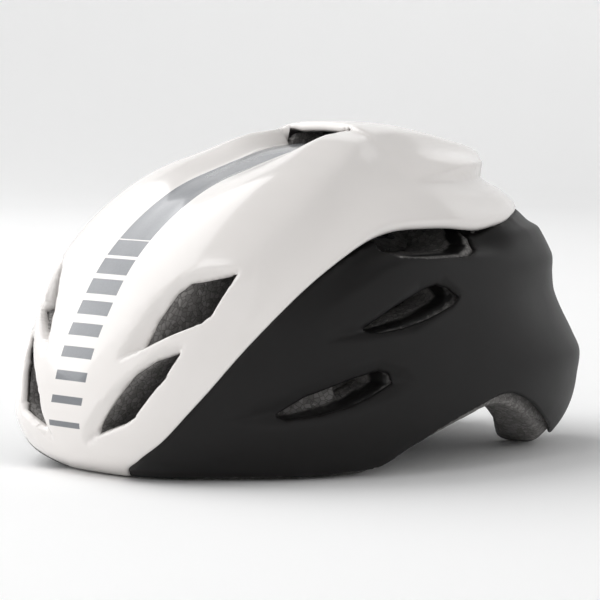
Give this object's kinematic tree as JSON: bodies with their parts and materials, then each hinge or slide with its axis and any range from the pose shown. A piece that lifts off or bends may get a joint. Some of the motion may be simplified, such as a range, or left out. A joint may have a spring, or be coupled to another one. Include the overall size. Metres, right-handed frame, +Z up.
{
  "type": "cycling helmet",
  "caption": "Road cycling helmet: white top skin with a grey centre stripe over a black lower skin, foam liner, pads, chin straps and a dial-adjusted fit cradle.",
  "frame": {"origin": "centre of the bounding box on the plane the helmet rests on", "axes": "+Z up, front of the helmet towards -Y, +X is the wearer's left"},
  "size_m": [0.208, 0.2761, 0.1499],
  "materials": {
    "shell_white": "gloss clear-coated white with a grey centre stripe",
    "shell_black": "matte black",
    "foam": "moulded bead foam, grey",
    "pad_cloth": "brushed knit over soft foam",
    "hook_tape": "hook tape",
    "anchor_plastic": "moulded",
    "webbing": "woven webbing",
    "hard_black": "fine texture",
    "rubber_black": "ribbed",
    "cradle_plastic": "satin",
    "gear_plastic": "natural acetal",
    "screw_steel": "zinc plated"
  },
  "bodies": {
    "helmet": {"upper_shell": "shell_white", "lower_shell": "shell_black", "eps_liner": "foam", "brow_pad": "pad_cloth", "crown_pad": "pad_cloth", "top_pad_left": "pad_cloth", "top_pad_right": "pad_cloth", "side_pad_left": "pad_cloth", "side_pad_right": "pad_cloth", "hook_dots": "hook_tape", "strap_anchors": "anchor_plastic", "front_strap_left": "webbing", "front_strap_right": "webbing", "rear_strap_left": "webbing", "rear_strap_right": "webbing", "chin_strap_left": "webbing", "chin_strap_right": "webbing", "divider_left": "hard_black", "divider_right": "hard_black", "buckle_socket": "hard_black", "strap_keeper": "rubber_black", "height_rail": "cradle_plastic"},
    "cradle": {"cradle_frame": "cradle_plastic", "dial_housing": "cradle_plastic", "housing_screws": "screw_steel", "ratchet_ring": "gear_plastic", "nape_pad_left": "pad_cloth", "nape_pad_right": "pad_cloth"},
    "dial": {"pinion": "gear_plastic", "dial_knob": "cradle_plastic", "dial_grip": "rubber_black", "dial_cap": "cradle_plastic"},
    "fit_belt_left": {"belt_left": "cradle_plastic"},
    "fit_belt_right": {"belt_right": "cradle_plastic"},
    "lever_left": {"divider_lever_left": "hard_black"},
    "lever_right": {"divider_lever_right": "hard_black"},
    "plug": {"buckle_plug": "hard_black"}
  },
  "joints": [
    {"name": "cradle_height", "type": "slide", "parent": "helmet", "child": "cradle", "axis": [0, 0, -1], "range_m": [0, 0.016]},
    {"name": "dial_turn", "type": "hinge", "parent": "cradle", "child": "dial", "pos_m": [0, 0.092, 0.033], "axis": [0, -1, 0], "range_deg": [0, 171.8]},
    {"name": "belt_left_draw", "type": "slide", "parent": "cradle", "child": "fit_belt_left", "axis": [-1, 0, 0], "range_m": [0, 0.0121]},
    {"name": "belt_right_draw", "type": "slide", "parent": "cradle", "child": "fit_belt_right", "axis": [1, 0, 0], "range_m": [0, 0.0121]},
    {"name": "lever_left_open", "type": "hinge", "parent": "helmet", "child": "lever_left", "pos_m": [0.042, 0.004, 0.0566], "axis": [0, -1, 0], "range_deg": [0, 80]},
    {"name": "lever_right_open", "type": "hinge", "parent": "helmet", "child": "lever_right", "pos_m": [-0.042, 0.004, 0.0566], "axis": [0, 1, 0], "range_deg": [0, 80]},
    {"name": "buckle_pull", "type": "slide", "parent": "helmet", "child": "plug", "axis": [-1, 0, 0], "range_m": [0, 0.014]}
  ],
  "couplings": [
    {"joint": "belt_left_draw", "follows": "dial_turn", "m_per_rad": 0.004},
    {"joint": "belt_right_draw", "follows": "dial_turn", "m_per_rad": 0.004}
  ]
}
